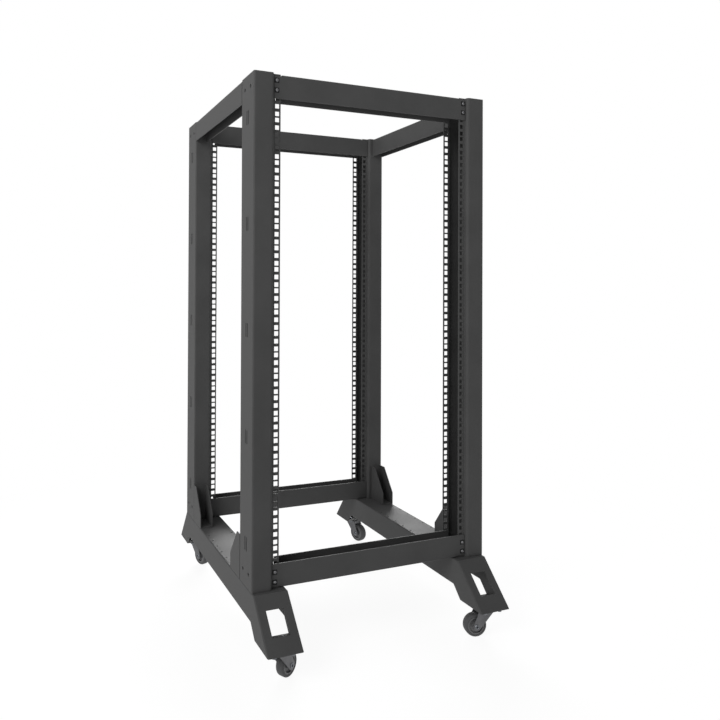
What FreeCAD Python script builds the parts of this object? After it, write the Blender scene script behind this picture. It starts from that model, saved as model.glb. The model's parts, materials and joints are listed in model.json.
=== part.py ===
import FreeCAD, Part
import math
import os

os.makedirs("parts", exist_ok=True)

# Four post open frame equipment rack, 22 rack units, on a low base with swivel casters.
# Millimetres. +X is the rack's right, +Y its rear, +Z up.
# The origin is on the floor, under the middle of the four posts.

# ---------------------------------------------------------------- driving dimensions
# Mounting pattern shared by all 19 inch equipment
rack_unit = 44.45
unit_count = 22
end_units = 1
hole_heights_in_unit = (6.35, 22.225, 38.1)
hole_side = 9.5
hole_columns_apart = 465.1
clear_opening = 450.0

# Rack overall
rack_width = 575.0
post_spacing = 449.0
sheet = 2.0

# Posts: folded C sections with a set-back mounting strip along each open edge
post_depth = 77.0
strip_width = 17.0
strip_set_back = 9.0
panel_bend = 7.0
fold_bend = 3.5
recess_bend = 1.2
side_hole_bore = 8.0
side_holes_apart = 34.0
side_hole_from_top = 27.0
side_hole_from_bottom = 31.0
slot_width = 4.0
slot_length = 29.0
slots_apart = 9.0
slot_pitch_units = 5
slot_start_unit = 1

# Cross beams between the left and right posts: channels that open towards the rack's middle height
beam_height = 50.0
beam_depth = 38.0
beam_end_margin = 1.0
beam_end_gap = 1.5
beam_corner_cut = 2.0
beam_bend = 3.0
channel_side_gap = 3.0

# Side beams between the front and rear posts
side_beam_depth = 32.0

# Base rails with their sloping feet
rail_width = 76.5
rail_height = 58.5
foot_height = 85.0
foot_reach_front = 90.0
foot_reach_rear = 64.0
foot_shelf = 8.0
foot_pad_length = 73.0
foot_ramp_length = 24.0
rail_bend = 3.0
window_width = 38.0
window_height = 37.0
window_above_pad = 25.0
rail_hole_bore = 4.5
rail_hole_from_edge = 7.5
rail_holes_apart = 36.0
rail_hole_count = 5

# Gusset brackets that brace each post on its rail
gusset_width = 33.0
gusset_height = 95.0
gusset_reach = 63.0
gusset_top = 18.0
gusset_toe = 33.0

# Casters
caster_height = 67.5
wheel_radius = 25.0
tyre_width = 19.0
tyre_depth = 6.0
tyre_chamfer = 4.0
hub_width = 22.0
hub_radius = 8.0
web_width = 9.0
rim_depth = 3.0
rim_inset = 1.0
axle_radius = 3.0
axle_head_radius = 5.5
axle_head = 2.0
caster_trail = 24.0
fork_sheet = 2.0
fork_clear_width = 24.0
fork_end_radius = 9.0
fork_back = 16.0
fork_front = 18.0
crown_radius = 21.0
plate_length = 62.0
plate_width = 56.0
plate_thickness = 2.5
raceway_radius = 17.0
raceway_depth = 6.0
raceway_lip = 3.0
kingpin_radius = 4.0
kingpin_head_radius = 7.0
kingpin_head = 1.8
running_clearance = 0.05
swivel_gap = 0.3

# Where each caster points: direction of its trail, degrees from +X
trail_headings = {"front_left": 30.0, "front_right": 166.0, "rear_left": -70.0, "rear_right": -72.0}

# ---------------------------------------------------------------- derived places
half_width = rack_width / 2
plate_low = caster_height - plate_thickness
crown_top = plate_low - raceway_depth
crown_height = crown_top - fork_sheet
half_opening = clear_opening / 2
half_post = post_depth / 2
post_length = (unit_count + 2 * end_units) * rack_unit
rail_top = caster_height + foot_height
post_top = rail_top + post_length
first_unit = rail_top + end_units * rack_unit
strip_face = half_post - strip_set_back
panel_edge = half_width - half_opening - strip_width
corners = {"front_left": (-1, -1), "front_right": (1, -1), "rear_left": (-1, 1), "rear_right": (1, 1)}


# ---------------------------------------------------------------- shared forms
def rounded_path(points, radii):
    """Edges of an open path whose inner corners are rounded by tangent arcs."""
    vectors = [FreeCAD.Vector(*point) for point in points]
    edges = []
    start = vectors[0]
    for before, corner, after, radius in zip(vectors, vectors[1:], vectors[2:], radii):
        back = (before - corner).normalize()
        ahead = (after - corner).normalize()
        half_angle = back.getAngle(ahead) / 2
        reach = radius / math.tan(half_angle)
        arc_start = corner + back * reach
        arc_end = corner + ahead * reach
        middle = (back + ahead).normalize()
        arc_middle = corner + middle * (radius / math.sin(half_angle) - radius)
        edges.append(Part.LineSegment(start, arc_start).toShape())
        edges.append(Part.Arc(arc_start, arc_middle, arc_end).toShape())
        start = arc_end
    edges.append(Part.LineSegment(start, vectors[-1]).toShape())
    return edges


def offset_path(points, thickness):
    """The same path moved to its left by one thickness."""
    normals = []
    for (x0, y0), (x1, y1) in zip(points, points[1:]):
        length = math.hypot(x1 - x0, y1 - y0)
        normals.append(((y0 - y1) / length, (x1 - x0) / length))
    shifts = [normals[0]]
    for (ax, ay), (bx, by) in zip(normals, normals[1:]):
        share = 1 + ax * bx + ay * by
        shifts.append(((ax + bx) / share, (ay + by) / share))
    shifts.append(normals[-1])
    return [(x + thickness * sx, y + thickness * sy) for (x, y), (sx, sy) in zip(points, shifts)]


def folded_profile(points, radii, thickness):
    """Face of a folded sheet: the path is one skin, the other lies one thickness to its left."""
    inner_radii = []
    for (x0, y0), (x1, y1), (x2, y2), radius in zip(points, points[1:], points[2:], radii):
        turns_left = (x1 - x0) * (y2 - y1) - (y1 - y0) * (x2 - x1) > 0
        inner_radii.append(radius - thickness if turns_left else radius + thickness)
    other = offset_path(points, thickness)
    skin = rounded_path([(x, y, 0) for x, y in points], radii)
    back = rounded_path([(x, y, 0) for x, y in other], inner_radii)
    start_cap = Part.LineSegment(FreeCAD.Vector(*other[0], 0), FreeCAD.Vector(*points[0], 0)).toShape()
    end_cap = Part.LineSegment(FreeCAD.Vector(*points[-1], 0), FreeCAD.Vector(*other[-1], 0)).toShape()
    outline = Part.Wire(Part.__sortEdges__(skin + [end_cap] + back + [start_cap]))
    return Part.Face(outline)


def polygon_prism(points, depth):
    """Solid of a closed outline in the YZ plane, extruded along +X from x = 0."""
    vectors = [FreeCAD.Vector(0, y, z) for y, z in points]
    outline = Part.makePolygon(vectors + [vectors[0]])
    return Part.Face(outline).extrude(FreeCAD.Vector(depth, 0, 0))


def box_between(low, high):
    """Box from its low corner to its high corner."""
    size = [b - a for a, b in zip(low, high)]
    return Part.makeBox(*size, FreeCAD.Vector(*low))


def mirrored(shape, side, plane_normal):
    """The shape itself for side +1, or its mirror image for side -1."""
    if side > 0:
        return shape
    return shape.mirror(FreeCAD.Vector(0, 0, 0), FreeCAD.Vector(*plane_normal))


def save(shape, name):
    """Write one piece to its own file."""
    shape.exportStep("parts/" + name + ".step")


# ---------------------------------------------------------------- posts
def build_post():
    """A right post about its own middle line, with its open side towards -X."""
    outer = half_width
    step = half_width - panel_edge
    tip = half_opening
    path = [
        (tip, -strip_face),
        (step, -strip_face),
        (step, -half_post),
        (outer, -half_post),
        (outer, half_post),
        (step, half_post),
        (step, strip_face),
        (tip, strip_face),
    ]
    radii = [recess_bend, panel_bend, fold_bend, fold_bend, panel_bend, recess_bend]
    profile = folded_profile(path, radii, sheet)
    profile.translate(FreeCAD.Vector(0, 0, rail_top))
    post = profile.extrude(FreeCAD.Vector(0, 0, post_length))

    cutters = []
    hole_x = hole_columns_apart / 2
    for unit in range(unit_count):
        for height in hole_heights_in_unit:
            middle = first_unit + unit * rack_unit + height
            low = (hole_x - hole_side / 2, -half_post, middle - hole_side / 2)
            high = (hole_x + hole_side / 2, half_post, middle + hole_side / 2)
            cutters.append(box_between(low, high))

    slot_unit = slot_start_unit
    while slot_unit < unit_count:
        middle = first_unit + slot_unit * rack_unit
        for side in (-1, 1):
            y = side * slots_apart / 2
            low = (outer - 2 * sheet, y - slot_width / 2, middle - slot_length / 2)
            high = (outer + sheet, y + slot_width / 2, middle + slot_length / 2)
            cutters.append(box_between(low, high))
        slot_unit += slot_pitch_units

    for z in (rail_top + side_hole_from_bottom, post_top - side_hole_from_top):
        for side in (-1, 1):
            place = FreeCAD.Vector(outer - 2 * sheet, side * side_holes_apart / 2, z)
            cutters.append(Part.makeCylinder(side_hole_bore / 2, 3 * sheet, place, FreeCAD.Vector(1, 0, 0)))
    return post.cut(Part.makeCompound(cutters))


post = build_post()
for corner, (side, end) in corners.items():
    placed = mirrored(post.copy(), side, (1, 0, 0))
    placed.translate(FreeCAD.Vector(0, end * post_spacing / 2, 0))
    save(placed, "post_" + corner)


# ---------------------------------------------------------------- cross beams
def build_cross_beam():
    """A bottom cross beam: a channel open above, whose front leg stands on y = 0 and ends in two tabs."""
    half_face = half_width - panel_edge - beam_end_gap
    half_channel = half_opening - channel_side_gap
    path = [
        (-sheet, beam_height),
        (-sheet, 0),
        (beam_depth - sheet, 0),
        (beam_depth - sheet, beam_height),
    ]
    profile = folded_profile(path, [beam_bend, beam_bend], sheet)
    profile.rotate(FreeCAD.Vector(0, 0, 0), FreeCAD.Vector(1, 1, 1), 120)
    profile.translate(FreeCAD.Vector(-half_channel, 0, 0))
    channel = profile.extrude(FreeCAD.Vector(2 * half_channel, 0, 0))

    tab_points = [
        (-half_face, beam_bend + beam_corner_cut),
        (-half_face + beam_corner_cut, beam_bend),
        (half_face - beam_corner_cut, beam_bend),
        (half_face, beam_bend + beam_corner_cut),
        (half_face, beam_height),
        (-half_face, beam_height),
    ]
    vectors = [FreeCAD.Vector(x, -sheet, z) for x, z in tab_points]
    tabs = Part.Face(Part.makePolygon(vectors + [vectors[0]])).extrude(FreeCAD.Vector(0, sheet, 0))
    return channel.fuse(tabs).removeSplitter()


bottom_beam = build_cross_beam()
top_beam = bottom_beam.mirror(FreeCAD.Vector(0, 0, beam_height / 2), FreeCAD.Vector(0, 0, 1))
top_beam_low = post_top - beam_end_margin - beam_height
beam_levels = {
    "bottom": (bottom_beam, rail_top + beam_end_margin),
    "top": (top_beam, top_beam_low),
}
for level, (beam, z) in beam_levels.items():
    for end_name, end in (("front", -1), ("rear", 1)):
        placed = beam.copy()
        placed.translate(FreeCAD.Vector(0, end * post_spacing / 2 - strip_face, z))
        save(placed, level + "_beam_" + end_name)


# ---------------------------------------------------------------- side beams
def build_side_beam():
    """The right top side beam: a channel between the posts, open below."""
    length = post_spacing - post_depth
    outer = half_width
    path = [
        (outer, 0),
        (outer, beam_height),
        (outer - side_beam_depth, beam_height),
        (outer - side_beam_depth, 0),
    ]
    profile = folded_profile(path, [beam_bend, beam_bend], sheet)
    profile.rotate(FreeCAD.Vector(0, 0, 0), FreeCAD.Vector(1, 0, 0), 90)
    profile.translate(FreeCAD.Vector(0, length / 2, top_beam_low))
    return profile.extrude(FreeCAD.Vector(0, -length, 0))


side_beam = build_side_beam()
for side_name, side in (("left", -1), ("right", 1)):
    save(mirrored(side_beam.copy(), side, (1, 0, 0)), "side_beam_" + side_name)


# ---------------------------------------------------------------- base rails
post_face = post_spacing / 2 + half_post
front_tip = -(post_face + foot_reach_front)
rear_tip = post_face + foot_reach_rear
rail_low = rail_top - rail_height
pad_low = rail_top - foot_height


def build_rail():
    """The right base rail: a downward channel whose ends slope down to the caster pads."""
    shelf_end = -post_face - foot_shelf
    outline = [
        (front_tip, pad_low),
        (shelf_end, rail_top),
        (post_face, rail_top),
        (rear_tip, pad_low),
        (rear_tip - foot_pad_length, pad_low),
        (rear_tip - foot_pad_length - foot_ramp_length, rail_low),
        (front_tip + foot_pad_length + foot_ramp_length, rail_low),
        (front_tip + foot_pad_length, pad_low),
    ]
    body = polygon_prism(outline, rail_width)

    skin = [(rear_tip, pad_low), (post_face, rail_top), (shelf_end, rail_top), (front_tip, pad_low)]
    (_, _), inner_rear, inner_front, (_, _) = offset_path(skin, sheet)
    pad_top = pad_low + sheet
    rear_lean = foot_reach_rear / foot_height
    front_lean = (foot_reach_front - foot_shelf) / foot_height
    inner_drop = inner_rear[1] - pad_top
    cavity = [
        (inner_front[0] - inner_drop * front_lean, pad_top),
        inner_front,
        inner_rear,
        (inner_rear[0] + inner_drop * rear_lean, pad_top),
        (rear_tip - foot_pad_length, pad_top),
        (rear_tip - foot_pad_length, pad_low - sheet),
        (front_tip + foot_pad_length, pad_low - sheet),
        (front_tip + foot_pad_length, pad_top),
    ]
    hollow = polygon_prism(cavity, rail_width - 2 * sheet)
    hollow.translate(FreeCAD.Vector(sheet, 0, 0))

    long_edges = []
    for edge in body.Edges:
        ends = [vertex.Point for vertex in edge.Vertexes]
        along_side = abs(ends[0].x - ends[1].x) < sheet
        if along_side and max(ends[0].z, ends[1].z) > rail_top - sheet:
            long_edges.append(edge)
    body = body.makeFillet(rail_bend, long_edges)
    rail = body.cut(hollow)

    window_low = pad_low + window_above_pad
    window_left = (rail_width - window_width) / 2
    low = (window_left, front_tip, window_low)
    high = (window_left + window_width, rear_tip, window_low + window_height)
    windows = box_between(low, high)
    middle = box_between((0, -post_face, pad_low), (rail_width, post_face, rail_top))
    rail = rail.cut(windows.cut(middle))

    holes = []
    for x in (rail_hole_from_edge, rail_width - rail_hole_from_edge):
        for number in range(rail_hole_count):
            y = (number - (rail_hole_count - 1) / 2) * rail_holes_apart
            place = FreeCAD.Vector(x, y, rail_top - 2 * sheet)
            holes.append(Part.makeCylinder(rail_hole_bore / 2, 3 * sheet, place))
    rail = rail.cut(Part.makeCompound(holes))
    rail.translate(FreeCAD.Vector(half_width - rail_width, 0, 0))
    return rail


rail = build_rail()
for side_name, side in (("left", -1), ("right", 1)):
    save(mirrored(rail.copy(), side, (1, 0, 0)), "base_rail_" + side_name)


# ---------------------------------------------------------------- gussets
def build_gusset():
    """The rear right gusset: two cheeks joined by a web on the post and a flange on the rail."""
    outline = [
        (0, 0),
        (0, gusset_height),
        (-gusset_top, gusset_height),
        (-gusset_reach, gusset_toe),
        (-gusset_reach, 0),
    ]
    body = polygon_prism(outline, gusset_width)
    low = (sheet, -gusset_reach - sheet, sheet)
    high = (gusset_width - sheet, -sheet, gusset_height + sheet)
    gusset = body.cut(box_between(low, high))
    inner_face = post_spacing / 2 - half_post
    gusset.translate(FreeCAD.Vector(half_width - gusset_width, inner_face, rail_top))
    return gusset


gusset = build_gusset()
for corner, (side, end) in corners.items():
    placed = mirrored(gusset.copy(), side, (1, 0, 0))
    save(mirrored(placed, end, (0, 1, 0)), "gusset_" + corner)


# ---------------------------------------------------------------- casters
def revolved(points):
    """Solid of revolution about Z of a closed outline given as radius and height."""
    vectors = [FreeCAD.Vector(r, 0, z) for r, z in points]
    outline = Part.Face(Part.makePolygon(vectors + [vectors[0]]))
    return outline.revolve(FreeCAD.Vector(0, 0, 0), FreeCAD.Vector(0, 0, 1), 360)


def build_caster_plate():
    """Fixed top of a caster: bolt plate, domed raceway and riveted kingpin, about the swivel axis."""
    low = (-plate_width / 2, -plate_length / 2, plate_low)
    high = (plate_width / 2, plate_length / 2, caster_height)
    plate = box_between(low, high)
    head_top = crown_height - swivel_gap
    profile = [
        (0, head_top - kingpin_head),
        (kingpin_head_radius, head_top - kingpin_head),
        (kingpin_head_radius, head_top),
        (kingpin_radius, head_top),
        (kingpin_radius, crown_top + swivel_gap),
        (raceway_radius - raceway_lip, crown_top + swivel_gap),
        (raceway_radius, crown_top + raceway_lip),
        (raceway_radius, plate_low),
        (0, plate_low),
    ]
    return plate.fuse(revolved(profile)).removeSplitter()


def tangent_point(centre, radius, outside, side):
    """Where a line from an outside point touches a circle, on the chosen side."""
    dx = outside[0] - centre[0]
    dz = outside[1] - centre[1]
    angle = math.atan2(dz, dx) + side * math.acos(radius / math.hypot(dx, dz))
    return (centre[0] + radius * math.cos(angle), centre[1] + radius * math.sin(angle))


def build_fork():
    """Swivelling yoke: a round crown with two legs that taper to the axle, trailing along +X."""
    axle = (caster_trail, wheel_radius)
    back_corner = (-fork_back, crown_top)
    front_corner = (fork_front, crown_top)
    back_touch = tangent_point(axle, fork_end_radius, back_corner, 1)
    front_touch = tangent_point(axle, fork_end_radius, front_corner, -1)
    lean = math.atan2(crown_top - axle[1], axle[0])
    bottom = (axle[0] + fork_end_radius * math.cos(lean), axle[1] - fork_end_radius * math.sin(lean))
    half_outer = fork_clear_width / 2 + fork_sheet

    def at(point):
        return FreeCAD.Vector(point[0], -half_outer, point[1])

    edges = [
        Part.LineSegment(at(back_corner), at(front_corner)).toShape(),
        Part.LineSegment(at(front_corner), at(front_touch)).toShape(),
        Part.Arc(at(front_touch), at(bottom), at(back_touch)).toShape(),
        Part.LineSegment(at(back_touch), at(back_corner)).toShape(),
    ]
    legs = Part.Face(Part.Wire(edges)).extrude(FreeCAD.Vector(0, 2 * half_outer, 0))
    reach = caster_trail + 2 * fork_end_radius
    low = (-reach, -fork_clear_width / 2, 0)
    high = (reach, fork_clear_width / 2, crown_height)
    legs = legs.cut(box_between(low, high))
    crown = Part.makeCylinder(crown_radius, fork_sheet, FreeCAD.Vector(0, 0, crown_height))
    fork = legs.fuse(crown).removeSplitter()
    pin_hole = Part.makeCylinder(kingpin_radius + running_clearance, crown_top, FreeCAD.Vector(0, 0, 0))
    bore_radius = axle_radius + running_clearance
    bore = Part.makeCylinder(bore_radius, 2 * half_outer, at(axle), FreeCAD.Vector(0, 1, 0))
    return fork.cut(pin_hole).cut(bore)


def build_axle():
    """Axle pin with a head at each end, along Z about its own middle."""
    half_grip = fork_clear_width / 2 + fork_sheet
    profile = [
        (0, -half_grip - axle_head),
        (axle_head_radius, -half_grip - axle_head),
        (axle_head_radius, -half_grip),
        (axle_radius, -half_grip),
        (axle_radius, half_grip),
        (axle_head_radius, half_grip),
        (axle_head_radius, half_grip + axle_head),
        (0, half_grip + axle_head),
    ]
    return revolved(profile)


def build_wheel():
    """Wheel centre: hub, thin web and rim, along Z about its own middle."""
    rim_outer = wheel_radius - tyre_depth
    rim_inner = rim_outer - rim_depth
    bore = axle_radius + running_clearance
    half_rim = tyre_width / 2 - rim_inset
    profile = [
        (bore, -hub_width / 2),
        (hub_radius, -hub_width / 2),
        (hub_radius, -web_width / 2),
        (rim_inner, -web_width / 2),
        (rim_inner, -half_rim),
        (rim_outer, -half_rim),
        (rim_outer, half_rim),
        (rim_inner, half_rim),
        (rim_inner, web_width / 2),
        (hub_radius, web_width / 2),
        (hub_radius, hub_width / 2),
        (bore, hub_width / 2),
    ]
    return revolved(profile)


def build_tyre():
    """Solid tyre with chamfered shoulders, along Z about its own middle."""
    inner = wheel_radius - tyre_depth
    half = tyre_width / 2
    profile = [
        (inner, -half),
        (wheel_radius - tyre_chamfer, -half),
        (wheel_radius, -half + tyre_chamfer),
        (wheel_radius, half - tyre_chamfer),
        (wheel_radius - tyre_chamfer, half),
        (inner, half),
    ]
    return revolved(profile)


def across_fork(shape):
    """Turn a piece that was made along Z so that it lies on the axle."""
    shape.rotate(FreeCAD.Vector(0, 0, 0), FreeCAD.Vector(1, 0, 0), 90)
    shape.translate(FreeCAD.Vector(caster_trail, 0, wheel_radius))
    return shape


caster_plate = build_caster_plate()
swivelling = {
    "caster_fork_": build_fork(),
    "caster_axle_": across_fork(build_axle()),
    "caster_wheel_": across_fork(build_wheel()),
    "caster_tyre_": across_fork(build_tyre()),
}
caster_x = half_width - rail_width / 2
caster_y = {-1: front_tip + foot_pad_length / 2, 1: rear_tip - foot_pad_length / 2}
for corner, (side, end) in corners.items():
    place = FreeCAD.Vector(side * caster_x, caster_y[end], 0)
    fixed = caster_plate.copy()
    fixed.translate(place)
    save(fixed, "caster_plate_" + corner)
    for prefix, shape in swivelling.items():
        turned = shape.copy()
        turned.rotate(FreeCAD.Vector(0, 0, 0), FreeCAD.Vector(0, 0, 1), trail_headings[corner])
        turned.translate(place)
        save(turned, prefix + corner)
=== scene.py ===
import json
import math

import bmesh
import bpy
from mathutils import Matrix, Vector


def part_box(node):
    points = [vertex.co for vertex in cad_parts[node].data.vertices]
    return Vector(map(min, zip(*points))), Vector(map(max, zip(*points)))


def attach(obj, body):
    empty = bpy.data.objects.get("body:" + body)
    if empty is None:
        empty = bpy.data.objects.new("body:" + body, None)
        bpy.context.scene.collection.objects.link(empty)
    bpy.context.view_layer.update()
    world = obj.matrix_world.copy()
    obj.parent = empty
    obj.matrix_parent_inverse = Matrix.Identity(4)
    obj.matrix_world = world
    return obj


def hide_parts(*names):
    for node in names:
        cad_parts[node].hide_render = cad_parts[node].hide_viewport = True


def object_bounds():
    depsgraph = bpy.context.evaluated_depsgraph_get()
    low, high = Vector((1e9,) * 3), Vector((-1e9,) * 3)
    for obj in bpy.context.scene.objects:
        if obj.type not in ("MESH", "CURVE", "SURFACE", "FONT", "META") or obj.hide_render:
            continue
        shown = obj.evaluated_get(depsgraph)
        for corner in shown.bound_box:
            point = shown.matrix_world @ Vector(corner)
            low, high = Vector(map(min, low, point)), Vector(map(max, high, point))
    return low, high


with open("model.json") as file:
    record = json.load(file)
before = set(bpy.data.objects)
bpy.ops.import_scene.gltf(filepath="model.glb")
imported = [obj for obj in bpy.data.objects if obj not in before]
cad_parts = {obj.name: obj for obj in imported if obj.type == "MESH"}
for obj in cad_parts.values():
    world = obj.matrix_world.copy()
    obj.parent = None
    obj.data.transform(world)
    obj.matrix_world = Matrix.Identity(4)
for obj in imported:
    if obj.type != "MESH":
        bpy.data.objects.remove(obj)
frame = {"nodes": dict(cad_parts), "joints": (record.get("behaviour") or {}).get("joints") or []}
cad_low, cad_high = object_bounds()
mm = 0.001

# ------------------------------------------------------------------ posts
# Four posts folded from 2 mm steel sheet, each with a set-back strip of punched square holes along both
# open edges. Like the rest of the frame they are powder coated: polyester powder, sprayed and baked.


def linear(hex_colour):
    """An sRGB hex colour as linear red, green, blue and alpha."""
    channels = [int(hex_colour[i:i + 2], 16) / 255 for i in (0, 2, 4)]
    return [c / 12.92 if c <= 0.04045 else ((c + 0.055) / 1.055) ** 2.4 for c in channels] + [1.0]


def new_material(name):
    """An empty node material, ready for its own nodes."""
    material = bpy.data.materials.new(name)
    material.use_nodes = True
    material.node_tree.nodes.clear()
    return material


def add_node(material, kind, settings=None, inputs=None):
    """Add a shader node with its settings. Its inputs are values, or sockets of other nodes to link from."""
    node = material.node_tree.nodes.new("ShaderNode" + kind)
    for name, value in (settings or {}).items():
        setattr(node, name, value)
    for name, value in (inputs or {}).items():
        if isinstance(value, bpy.types.NodeSocket):
            material.node_tree.links.new(value, node.inputs[name])
        else:
            node.inputs[name].default_value = value
    return node


def clouds(material, feature_mm, detail):
    """Soft noise in the piece's own space, with features of about this size."""
    place = add_node(material, "TexCoord")
    return add_node(material, "TexNoise", inputs={
        "Vector": place.outputs["Object"], "Scale": 1 / (feature_mm * mm), "Detail": detail})


def shades(material, noise, dark, light, span=(0.0, 1.0)):
    """A colour that goes from the dark shade to the light one as the noise goes through its span."""
    ramp = add_node(material, "ValToRGB", inputs={"Fac": noise.outputs["Fac"]})
    for element, position, shade in zip(ramp.color_ramp.elements, span, (dark, light)):
        element.position = position
        element.color = linear(shade)
    return ramp.outputs["Color"]


def spread(material, noise, low, high, span=(0.0, 1.0)):
    """A number that goes from low to high as the noise goes through its span."""
    ranged = add_node(material, "MapRange", inputs={
        "Value": noise.outputs["Fac"], "From Min": span[0], "From Max": span[1],
        "To Min": low, "To Max": high})
    return ranged.outputs["Result"]


def surface(material, inputs):
    """Close the material with its one surface shader."""
    skin = add_node(material, "BsdfPrincipled", inputs=inputs)
    add_node(material, "OutputMaterial", inputs={"Surface": skin.outputs["BSDF"]})


def finish_nodes(node, material):
    """Give a CAD node this material on all of its faces."""
    piece = frame["nodes"][node]
    if not piece.material_slots:
        piece.data.materials.append(material)
    for material_slot in piece.material_slots:
        material_slot.material = material


# Black powder coat: satin, slightly uneven where the film flowed, with a sand-like grain. The real grain is
# about 0.3 mm, and is drawn at 0.9 mm so that it still breaks up the highlights at this distance. The grain
# also takes some of the gloss away, so the coat reflects less than smooth polyester does.
POWDER_BLACK = "4a4a4a"
POWDER_BLACK_THIN = "525252"
POWDER_PATCH_MM = 80.0
PATCH_SPAN = (0.3, 0.75)
POWDER_ROUGHNESS = (0.54, 0.62)
POWDER_IOR = 1.24
POWDER_FLOW_MM = 6.0
FLOW_DEPTH_MM = 0.4
FLOW_STRENGTH = 0.12
POWDER_GRAIN_MM = 0.9
GRAIN_DEPTH_MM = 0.1
GRAIN_STRENGTH = 0.3

powder_coat = new_material("black_polyester_powder_coat")
patches = clouds(powder_coat, POWDER_PATCH_MM, detail=4.0)
flow = clouds(powder_coat, POWDER_FLOW_MM, detail=2.0)
grain = clouds(powder_coat, POWDER_GRAIN_MM, detail=3.0)
flow_relief = add_node(powder_coat, "Bump", inputs={
    "Height": flow.outputs["Fac"], "Strength": FLOW_STRENGTH, "Distance": FLOW_DEPTH_MM * mm})
grain_relief = add_node(powder_coat, "Bump", inputs={
    "Height": grain.outputs["Fac"], "Strength": GRAIN_STRENGTH, "Distance": GRAIN_DEPTH_MM * mm,
    "Normal": flow_relief.outputs["Normal"]})
surface(powder_coat, {
    "Base Color": shades(powder_coat, patches, POWDER_BLACK, POWDER_BLACK_THIN, span=PATCH_SPAN),
    "Roughness": spread(powder_coat, patches, *POWDER_ROUGHNESS, span=PATCH_SPAN),
    "IOR": POWDER_IOR, "Normal": grain_relief.outputs["Normal"]})

CORNERS = ("front_left", "front_right", "rear_left", "rear_right")
for corner in CORNERS:
    finish_nodes("post_" + corner, powder_coat)

# ------------------------------------------------------------------ cross beams, side beams, rails, gussets
# Channels, rails and brackets of the same 2 mm sheet, laser cut and folded. The rails end in sloping feet
# with a window each. All are powder coated in one batch with the posts.
for node in frame["nodes"]:
    if "beam" in node or "rail" in node or "gusset" in node:
        finish_nodes(node, powder_coat)

# ------------------------------------------------------------------ beam screws
# Pan head machine screws with a cross recess, two through each end tab of a cross beam and the post's strip,
# each on a square lock washer a little wider than the strip's holes. The front beams' screws face the front.
# The rear beams' screws go in from the rear, so their heads lie behind the strip.
TAB_AND_STRIP_MM = 4.0
SCREW_FROM_MIDDLE_MM = 234.5
SCREW_HEIGHTS_MM = (13.5, 34.0)
SCREW_HEAD_RADIUS_MM = 3.4
SCREW_HEAD_MM = 2.3
SCREW_HEAD_EDGE_MM = 0.6
RECESS_ARM_MM = 2.0
RECESS_WIDTH_MM = 0.8
RECESS_DEPTH_MM = 1.4
RECESS_TAPER = 0.55
# The washers reach towards the post's step, so that their near-black colour paints the shade of the gap
# there.
LOCK_WASHER_SIDE_MM = 10.5
LOCK_WASHER_MM = 0.5
LOCK_WASHER_CHAMFER_MM = 0.1
CUTTER_OVERLAP_MM = 0.1
SHARP_EDGE_DEG = 35


def closed_mesh(name, solid):
    """The mesh of a closed bmesh, with its faces turned outwards."""
    bmesh.ops.recalc_face_normals(solid, faces=solid.faces)
    mesh = bpy.data.meshes.new(name)
    solid.to_mesh(mesh)
    solid.free()
    return mesh


def lathe(profile, steps=32):
    """A solid turned about Z from radius and height pairs in mm, from axis to axis or a closed ring."""
    solid = bmesh.new()
    turns = [2 * math.pi * step / steps for step in range(steps)]
    rings = []
    for radius, height in profile:
        if radius == 0:
            rings.append([solid.verts.new((0, 0, height * mm))] * steps)
        else:
            rings.append([solid.verts.new((radius * mm * math.cos(a), radius * mm * math.sin(a), height * mm))
                          for a in turns])
    if profile[0][0] > 0:
        rings.append(rings[0])
    for lower, upper in zip(rings, rings[1:]):
        for step in range(steps):
            corners = [lower[step - 1], lower[step], upper[step], upper[step - 1]]
            solid.faces.new(list(dict.fromkeys(corners)))
    return closed_mesh("turned", solid)


def joined(name, parts, material, body):
    """One piece of many placed copies, given as mesh and matrix pairs, that rides on a CAD body."""
    whole = bmesh.new()
    for mesh, matrix in parts:
        start = len(whole.verts)
        whole.from_mesh(mesh)
        whole.verts.ensure_lookup_table()
        for vert in whole.verts[start:]:
            vert.co = matrix @ vert.co
    mesh = closed_mesh(name, whole)
    mesh.materials.append(material)
    piece = bpy.data.objects.new(name, mesh)
    bpy.context.scene.collection.objects.link(piece)
    mesh.shade_smooth()
    mesh.set_sharp_from_angle(angle=math.radians(SHARP_EDGE_DEG))
    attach(piece, body)
    return piece


def cut(mesh, cutter):
    """The mesh less the cutter, both closed."""
    keep = bpy.data.objects.new("keep", mesh)
    tool = bpy.data.objects.new("tool", cutter)
    for item in (keep, tool):
        bpy.context.scene.collection.objects.link(item)
    boolean = keep.modifiers.new("cut", "BOOLEAN")
    boolean.object = tool
    boolean.solver = "EXACT"
    evaluated = keep.evaluated_get(bpy.context.evaluated_depsgraph_get())
    result = bpy.data.meshes.new_from_object(evaluated)
    for item in (keep, tool):
        bpy.data.objects.remove(item)
    return result


def dome(radius, height, edge, steps=7):
    """Profile of a pan head: a straight edge, then a quarter ellipse up to the middle."""
    rise = height - edge
    arc = [math.pi / 2 * step / steps for step in range(steps)]
    crown = [(radius * math.cos(a), edge + rise * math.sin(a)) for a in arc]
    return [(0, 0), (radius, 0)] + crown + [(0, height)]


def disc(radius, low, high, chamfer):
    """Profile of a disc or bar end with both rims chamfered."""
    return [(0, low), (radius - chamfer, low), (radius, low + chamfer), (radius, high - chamfer),
            (radius - chamfer, high), (0, high)]


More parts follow.
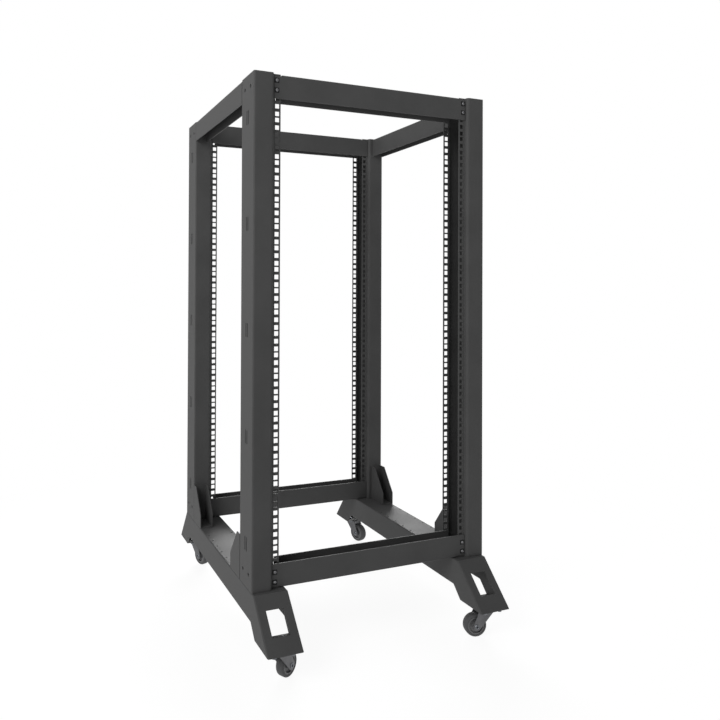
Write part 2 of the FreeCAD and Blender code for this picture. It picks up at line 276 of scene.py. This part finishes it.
def cross_cutter(arm, width, depth, top):
    """One closed cross that narrows downwards, as the tip of a cross recess driver does."""
    quarter = [(arm, -width / 2), (arm, width / 2), (width / 2, width / 2)]
    turns = [Matrix.Rotation(math.pi / 2 * step, 2) for step in range(4)]
    outline = [turn @ Vector(point) for turn in turns for point in quarter]
    solid = bmesh.new()
    rings = []
    for z, taper in ((top - depth, RECESS_TAPER), (top, 1.0)):
        rings.append([solid.verts.new((p.x * taper * mm, p.y * taper * mm, z * mm)) for p in outline])
        solid.faces.new(rings[-1])
    for i in range(len(outline)):
        solid.faces.new((rings[0][i - 1], rings[0][i], rings[1][i], rings[1][i - 1]))
    return closed_mesh("cross", solid)


# Zinc on cold headed steel: a grey metal with soft reflections and faint streaks from the plating bath.
SCREW_STREAK_MM = 1.5
screw_steel = new_material("dull_zinc_plated_steel")
streaks = clouds(screw_steel, SCREW_STREAK_MM, detail=3.0)
surface(screw_steel, {
    "Base Color": shades(screw_steel, streaks, "626264", "808082"), "Metallic": 0.9,
    "Roughness": spread(screw_steel, streaks, low=0.3, high=0.45)})

# Blackened spring steel: oil in the oxide makes it nearly black and matt, a little lighter where it rubs. The
# near-black colour is also painted shade: on the washers it stands in for the shadowed gap between the post's
# step and the screws.
WASHER_RUBBED_MM = 2.5
OILED_OXIDE_IOR = 1.3
washer_steel_and_painted_shade = new_material("blackened_steel_and_painted_shade")
rubbed = clouds(washer_steel_and_painted_shade, WASHER_RUBBED_MM, detail=3.0)
surface(washer_steel_and_painted_shade, {
    "Base Color": shades(washer_steel_and_painted_shade, rubbed, "0e0e0f", "1c1c1d"), "IOR": OILED_OXIDE_IOR,
    "Roughness": spread(washer_steel_and_painted_shade, rubbed, low=0.75, high=0.6)})

head = cut(lathe(dome(SCREW_HEAD_RADIUS_MM, SCREW_HEAD_MM, SCREW_HEAD_EDGE_MM)),
           cross_cutter(RECESS_ARM_MM, RECESS_WIDTH_MM, RECESS_DEPTH_MM, SCREW_HEAD_MM + CUTTER_OVERLAP_MM))
lock_washer_radius = LOCK_WASHER_SIDE_MM / math.sqrt(2)
lock_washer = lathe(disc(lock_washer_radius, 0, LOCK_WASHER_MM, LOCK_WASHER_CHAMFER_MM), steps=4)
on_washer = Matrix.Translation((0, 0, LOCK_WASHER_MM * mm))
square_up = Matrix.Rotation(math.radians(45), 4, "Z")
facing = {"front": Matrix.Rotation(math.radians(90), 4, "X"),
          "rear": Matrix.Rotation(math.radians(-90), 4, "X")}
seat_depth = {"front": 0, "rear": TAB_AND_STRIP_MM * mm}
post_low, post_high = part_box("post_front_left")
for level in ("top", "bottom"):
    for end in ("front", "rear"):
        beam_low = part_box(level + "_beam_" + end)[0]
        screws, washers = [], []
        for side in (-1, 1):
            for height in SCREW_HEIGHTS_MM:
                z = post_low.z + height * mm if level == "bottom" else post_high.z - height * mm
                spot = Vector((side * SCREW_FROM_MIDDLE_MM * mm, beam_low.y + seat_depth[end], z))
                seat = Matrix.Translation(spot) @ facing[end]
                # The height serves as an angle too, so that the recesses stop at different turns.
                turned = Matrix.Rotation(side * height, 4, "Z")
                screws.append((head, seat @ on_washer @ turned))
                washers.append((lock_washer, seat @ square_up))
        joined("beam_screws_" + level + "_" + end, screws, screw_steel, "frame")
        # Near-black washers: painted shade in the gap beside the post's step.
        joined("lock_washers_painted_shade_" + level + "_" + end, washers, washer_steel_and_painted_shade, "frame")

# ------------------------------------------------------------------ casters
# Swivel casters bought in: a pressed steel plate with its raceway, a pressed fork, and a 50 mm wheel.
# The pressings are phosphated and oiled, so they are greyer and smoother than the powder coat.
PHOSPHATE_CLOUD_MM = 9.0
pressed_steel = new_material("phosphated_pressed_steel")
crystals = clouds(pressed_steel, PHOSPHATE_CLOUD_MM, detail=4.0)
surface(pressed_steel, {
    "Base Color": shades(pressed_steel, crystals, "4e4e50", "6c6c6e"), "Metallic": 0.6,
    "Roughness": spread(pressed_steel, crystals, low=0.28, high=0.42)})

# Zinc and blue passivation on the rivets and bolts: a grey metal, cleaner than the pressings, faintly cloudy.
ZINC_CLOUD_MM = 2.0
zinc = new_material("bright_zinc_plated_steel")
spangle = clouds(zinc, ZINC_CLOUD_MM, detail=4.0)
surface(zinc, {
    "Base Color": shades(zinc, spangle, "5a5c5f", "787a7e"), "Metallic": 1.0,
    "Roughness": spread(zinc, spangle, low=0.28, high=0.42)})

# Injection moulded nylon: a spark-eroded mould leaves a fine even pit, drawn at 0.8 mm, so the shine is soft.
NYLON_CLOUD_MM = 5.0
NYLON_PIT_MM = 0.8
NYLON_PIT_DEPTH_MM = 0.05
NYLON_IOR = 1.53
nylon = new_material("moulded_grey_nylon")
melt = clouds(nylon, NYLON_CLOUD_MM, detail=3.0)
pits = clouds(nylon, NYLON_PIT_MM, detail=2.0)
pitted = add_node(nylon, "Bump", inputs={
    "Height": pits.outputs["Fac"], "Strength": 0.15, "Distance": NYLON_PIT_DEPTH_MM * mm})
surface(nylon, {
    "Base Color": shades(nylon, melt, "5c5c5d", "6a6a6b"), "Roughness": 0.48, "IOR": NYLON_IOR,
    "Normal": pitted.outputs["Normal"]})

# Thermoplastic rubber, moulded round the nylon: darker and duller, with a dusty bloom in patches.
RUBBER_BLOOM_MM = 3.0
RUBBER_IOR = 1.45
rubber = new_material("moulded_grey_rubber")
bloom = clouds(rubber, RUBBER_BLOOM_MM, detail=5.0)
surface(rubber, {
    "Base Color": shades(rubber, bloom, "444445", "525253"), "IOR": RUBBER_IOR,
    "Roughness": spread(rubber, bloom, low=0.6, high=0.8)})

TYRE_RADIUS_MM = 24.85
TYRE_RIDGE_MM = 0.1
TYRE_RIDGE_HALF_WIDTH_MM = 0.4
TYRE_BORE_MM = 19.0
TYRE_BORE_CHAMFER_MM = 0.5
TYRE_HALF_WIDTH_MM = 9.5
SHOULDER_RADIUS_MM = 4.6
SHOULDER_STEPS = 8
RIVET_HALF_LENGTH_MM = 16.0
RIVET_HEAD_RADIUS_MM = 5.5
RIVET_HEAD_MM = 2.0
RIVET_HEAD_EDGE_MM = 0.7
RIVET_HEAD_FLAT_MM = 1.2
RIVET_HEAD_FALL_MM = 0.1
RIVET_RADIUS_MM = 3.0
RIVET_CUP_RADIUS_MM = 2.4
RIVET_CUP_MM = 3.0
RIVET_CUP_TAPER = 0.8
RIVET_ROLL_MM = 0.7
RIVET_ROLL_DEPTH_MM = 0.6


def tyre_profile():
    """Ring section of the tyre: rounded shoulders, and the fine ridge that the mould's halves leave."""
    crown = TYRE_HALF_WIDTH_MM - SHOULDER_RADIUS_MM
    low = TYRE_RADIUS_MM - SHOULDER_RADIUS_MM
    arc = [math.pi / 2 * step / SHOULDER_STEPS for step in range(SHOULDER_STEPS + 1)]
    right = [(low + SHOULDER_RADIUS_MM * math.sin(a), crown + SHOULDER_RADIUS_MM * math.cos(a)) for a in arc]
    ridge = [(TYRE_RADIUS_MM, TYRE_RIDGE_HALF_WIDTH_MM), (TYRE_RADIUS_MM + TYRE_RIDGE_MM, 0.0),
             (TYRE_RADIUS_MM, -TYRE_RIDGE_HALF_WIDTH_MM)]
    left = [(radius, -height) for radius, height in reversed(right)]
    rim = TYRE_HALF_WIDTH_MM - TYRE_BORE_CHAMFER_MM
    return right + ridge + left + [(TYRE_BORE_MM, -rim), (TYRE_BORE_MM, rim)]


def rivet_profile():
    """Section of the tubular axle rivet, whose ends are rolled over into cupped heads."""
    tip = RIVET_HALF_LENGTH_MM
    neck = tip - RIVET_HEAD_MM
    end = [
        (0, tip - RIVET_CUP_MM),
        (RIVET_CUP_RADIUS_MM * RIVET_CUP_TAPER, tip - RIVET_CUP_MM),
        (RIVET_CUP_RADIUS_MM, tip - RIVET_ROLL_DEPTH_MM),
        (RIVET_CUP_RADIUS_MM + RIVET_ROLL_MM, tip),
        (RIVET_HEAD_RADIUS_MM - RIVET_HEAD_FLAT_MM, tip - RIVET_HEAD_FALL_MM),
        (RIVET_HEAD_RADIUS_MM, neck + RIVET_HEAD_EDGE_MM),
        (RIVET_HEAD_RADIUS_MM, neck),
        (RIVET_RADIUS_MM, neck),
    ]
    return end + [(radius, -height) for radius, height in reversed(end)]


tyre = lathe(tyre_profile(), steps=64)
rivet = lathe(rivet_profile(), steps=28)
joints = {joint["name"]: joint for joint in frame["joints"]}
for corner in CORNERS:
    finish_nodes("caster_plate_" + corner, pressed_steel)
    finish_nodes("caster_fork_" + corner, pressed_steel)
    finish_nodes("caster_axle_" + corner, zinc)
    finish_nodes("caster_wheel_" + corner, nylon)
    finish_nodes("caster_tyre_" + corner, rubber)
    roll = joints["roll_" + corner]
    turned = Vector(roll["axis"]).to_track_quat("Z", "Y").to_matrix().to_4x4()
    on_axle = Matrix.Translation(roll["pos_m"]) @ turned
    tread_ring = joined("tyre_" + corner, [(tyre, on_axle)], rubber, "wheel_" + corner)
    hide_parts("caster_tyre_" + corner)
    pin = joined("axle_rivet_" + corner, [(rivet, on_axle)], zinc, "fork_" + corner)
    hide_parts("caster_axle_" + corner)

# ------------------------------------------------------------------ caster bolts
# Four M6 bolts hold each caster plate under its foot: hexagon heads on washers below, and round clinch nuts,
# pressed into the foot's sheet, above. Zinc plated steel, like the rivets.
BOLT_ALONG_X_MM = 20.0
BOLT_ALONG_Y_MM = 23.0
BOLT_RADIUS_MM = 3.0
BOLT_CHAMFER_MM = 0.5
BOLT_START_MM = 0.5
BOLT_STANDS_OUT_MM = 0.8
HEX_RADIUS_MM = 5.77
HEX_HEAD_MM = 4.0
HEX_CHAMFER_MM = 0.5
WASHER_RADIUS_MM = 6.0
WASHER_MM = 1.2
WASHER_CHAMFER_MM = 0.2
CLINCH_NUT_RADIUS_MM = 4.5
CLINCH_NUT_MM = 2.6
CLINCH_NUT_CHAMFER_MM = 0.4
FOOT_SHEET_MM = 2.0
PLATE_MM = 2.5

hex_head = lathe(disc(HEX_RADIUS_MM, -WASHER_MM - HEX_HEAD_MM, -WASHER_MM, HEX_CHAMFER_MM), steps=6)
washer = lathe(disc(WASHER_RADIUS_MM, -WASHER_MM, 0, WASHER_CHAMFER_MM))
clinch_nut = lathe(disc(CLINCH_NUT_RADIUS_MM, 0, CLINCH_NUT_MM, CLINCH_NUT_CHAMFER_MM))
bolt_end = lathe(disc(BOLT_RADIUS_MM, BOLT_START_MM, CLINCH_NUT_MM + BOLT_STANDS_OUT_MM, BOLT_CHAMFER_MM))
under_plate = Matrix.Translation((0, 0, -PLATE_MM * mm))
on_foot = Matrix.Translation((0, 0, FOOT_SHEET_MM * mm))
for corner in CORNERS:
    plate_low, plate_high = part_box("caster_plate_" + corner)
    middle = (plate_low + plate_high) / 2
    bolts = []
    for x in (-BOLT_ALONG_X_MM, BOLT_ALONG_X_MM):
        for y in (-BOLT_ALONG_Y_MM, BOLT_ALONG_Y_MM):
            spot = Matrix.Translation((middle.x + x * mm, middle.y + y * mm, plate_high.z))
            # The place serves as an angle too, so that the heads stop at different turns.
            turned = Matrix.Rotation(x * y, 4, "Z")
            below = spot @ under_plate @ turned
            above = spot @ on_foot @ turned
            bolts += [(hex_head, below), (washer, below), (clinch_nut, above), (bolt_end, above)]
    joined("caster_bolts_" + corner, bolts, zinc, "frame")

# ------------------------------------------------------------------ studio
# A pale seamless floor in white surroundings. The main softbox stands to the left, with weaker ones at the
# front left and overhead, and a strong one behind the rack that glances off the rails' top plates.
scene = bpy.context.scene
WHITE = (1, 1, 1, 1)
FLOOR_SIZE_M = 60.0
FLOOR_BELOW_MM = 0.2
half = FLOOR_SIZE_M / 2
floor_corners = [(-half, -half, 0), (half, -half, 0), (half, half, 0), (-half, half, 0)]
floor_mesh = bpy.data.meshes.new("floor")
floor_mesh.from_pydata(floor_corners, [], [(0, 1, 2, 3)])
floor = bpy.data.objects.new("floor", floor_mesh)
scene.collection.objects.link(floor)
floor.location.z = cad_low.z - FLOOR_BELOW_MM * mm


def seen_by_eye(material):
    """One for what the eye sees, also in a reflection, and nought for bounced light. Works on a world too."""
    rays = add_node(material, "LightPath")
    eye_or_gloss = add_node(material, "Math", {"operation": "MAXIMUM"}, {
        0: rays.outputs["Is Camera Ray"], 1: rays.outputs["Is Glossy Ray"]})
    seen = add_node(material, "Math", {"operation": "MAXIMUM"}, {
        0: eye_or_gloss.outputs["Value"], 1: rays.outputs["Is Transmission Ray"]})
    return seen.outputs["Value"]


# Matt white paint, lit evenly. A little way off it grows to the white of the surroundings, and the rack's
# shadow stays on it near the feet. What it throws back up to the rack is a weaker, even light.
FLOOR_SHADE = "6c6c6c"
FLOOR_GLOW = 0.91
FLOOR_BOUNCE = 0.69
SHADOW_FADES_FROM_M = 0.5
ALL_WHITE_FROM_M = 1.3
floor_paint = new_material("white_studio_floor")
place = add_node(floor_paint, "TexCoord")
reach = add_node(floor_paint, "VectorMath", {"operation": "LENGTH"}, {0: place.outputs["Object"]})
away = add_node(floor_paint, "MapRange", {"interpolation_type": "SMOOTHSTEP"}, {
    "Value": reach.outputs["Value"], "From Min": SHADOW_FADES_FROM_M, "From Max": ALL_WHITE_FROM_M})
matt = add_node(floor_paint, "BsdfDiffuse", inputs={"Color": linear(FLOOR_SHADE)})
lift = add_node(floor_paint, "Emission", inputs={"Color": WHITE, "Strength": FLOOR_GLOW})
bright = add_node(floor_paint, "AddShader", inputs={0: matt.outputs["BSDF"], 1: lift.outputs["Emission"]})
white = add_node(floor_paint, "Emission", inputs={"Color": WHITE, "Strength": 1.0})
paint = add_node(floor_paint, "MixShader", inputs={
    0: away.outputs["Result"], 1: bright.outputs["Shader"], 2: white.outputs["Emission"]})
bounce = add_node(floor_paint, "Emission", inputs={"Color": WHITE, "Strength": FLOOR_BOUNCE})
both = add_node(floor_paint, "MixShader", inputs={
    0: seen_by_eye(floor_paint), 1: bounce.outputs["Emission"], 2: paint.outputs["Shader"]})
add_node(floor_paint, "OutputMaterial", inputs={"Surface": both.outputs["Shader"]})
floor_mesh.materials.append(floor_paint)

# The surroundings are white to the eye, and light the rack only a little.
WORLD_FILL = 0.10
world = bpy.data.worlds.new("white_studio")
scene.world = world
world.use_nodes = True
world.node_tree.nodes.clear()
fill = add_node(world, "Background", inputs={"Color": WHITE, "Strength": WORLD_FILL})
white = add_node(world, "Background", inputs={"Color": WHITE, "Strength": 1.0})
either = add_node(world, "MixShader", inputs={
    0: seen_by_eye(world), 1: fill.outputs["Background"], 2: white.outputs["Background"]})
add_node(world, "OutputWorld", inputs={"Surface": either.outputs["Shader"]})


def softbox(name, spot, aim, width, height, watts):
    """A rectangular lamp with a diffuser, turned towards a point."""
    lamp = bpy.data.lights.new(name, "AREA")
    lamp.shape = "RECTANGLE"
    lamp.size = width
    lamp.size_y = height
    lamp.energy = watts
    stand = bpy.data.objects.new(name, lamp)
    stand.location = spot
    stand.rotation_euler = (Vector(aim) - stand.location).to_track_quat("-Z", "Y").to_euler()
    stand.visible_camera = False
    scene.collection.objects.link(stand)


softbox("left", spot=(-2.6, -1.25, 2.3), aim=(0, 0, 0.7), width=1.6, height=1.6, watts=46)
softbox("front_left", spot=(-3.0, -3.0, 2.4), aim=(0, 0, 0.7), width=2.0, height=2.0, watts=19)
softbox("behind", spot=(1.3, 3.0, 1.5), aim=(0, 0, 0.2), width=2.4, height=1.0, watts=104)
softbox("over", spot=(0.0, 0.0, 3.0), aim=(0, 0, 0), width=2.0, height=2.0, watts=9)

# The camera stands to the left of the front, nearly level, at about two thirds of the rack's height. Its
# lens is shifted instead of tilted, so that the posts stay nearly upright.
CAMERA_PLACE = (-0.7470, -1.5111, 0.7714)
CAMERA_TURN = -0.3627
CAMERA_LIFT = 0.0075
CAMERA_ROLL = 0.0046
LENS_MM = 32.68
SENSOR_MM = 36.0
SHIFT_X = 0.1393
SHIFT_Y = -0.1051
camera_data = bpy.data.cameras.new("camera")
camera_data.lens = LENS_MM
camera_data.sensor_width = SENSOR_MM
camera_data.shift_x = SHIFT_X
camera_data.shift_y = SHIFT_Y
camera = bpy.data.objects.new("camera", camera_data)
aim = Matrix.Rotation(CAMERA_TURN, 4, "Z") @ Matrix.Rotation(math.pi / 2 + CAMERA_LIFT, 4, "X")
camera.matrix_world = Matrix.Translation(CAMERA_PLACE) @ aim @ Matrix.Rotation(CAMERA_ROLL, 4, "Z")
scene.collection.objects.link(camera)
scene.camera = camera
scene.view_settings.view_transform = "Standard"
